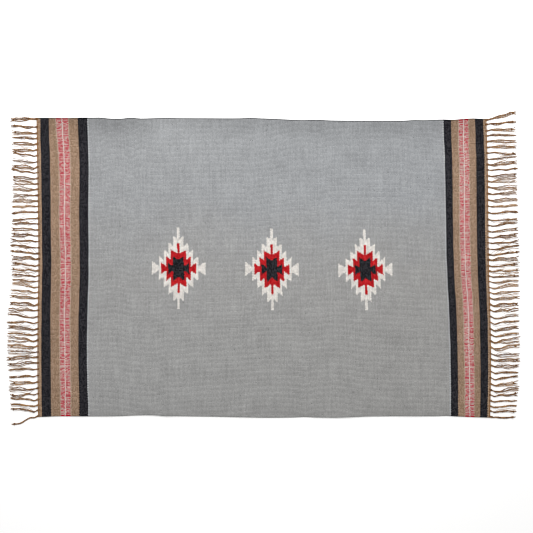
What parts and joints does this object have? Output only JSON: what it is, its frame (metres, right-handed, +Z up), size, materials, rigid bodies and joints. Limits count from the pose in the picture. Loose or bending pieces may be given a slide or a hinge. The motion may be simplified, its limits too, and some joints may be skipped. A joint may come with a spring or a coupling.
{
  "type": "flat-woven rug with fringe",
  "caption": "Rectangular flat-woven cotton rug lying flat, with striped ends, serrated diamond motifs along the middle and a knotted warp fringe on both short ends.",
  "frame": {"origin": "on the floor, under the middle of the rug with its fringes", "axes": "+Z up from the floor, +X along the warps towards one fringe, +Y across the rug towards a selvedge"},
  "size_m": [2.0485, 1.2505, 0.006],
  "materials": {
    "woven_cotton": "matte weft-faced flat weave, grey field with black, tan, red and ivory stripes",
    "warp_cotton": "matte loosely twisted brown warp yarn"
  },
  "bodies": {
    "root": {"rug_cloth": "woven_cotton", "fringe_left": "warp_cotton", "fringe_right": "warp_cotton"}
  },
  "joints": []
}
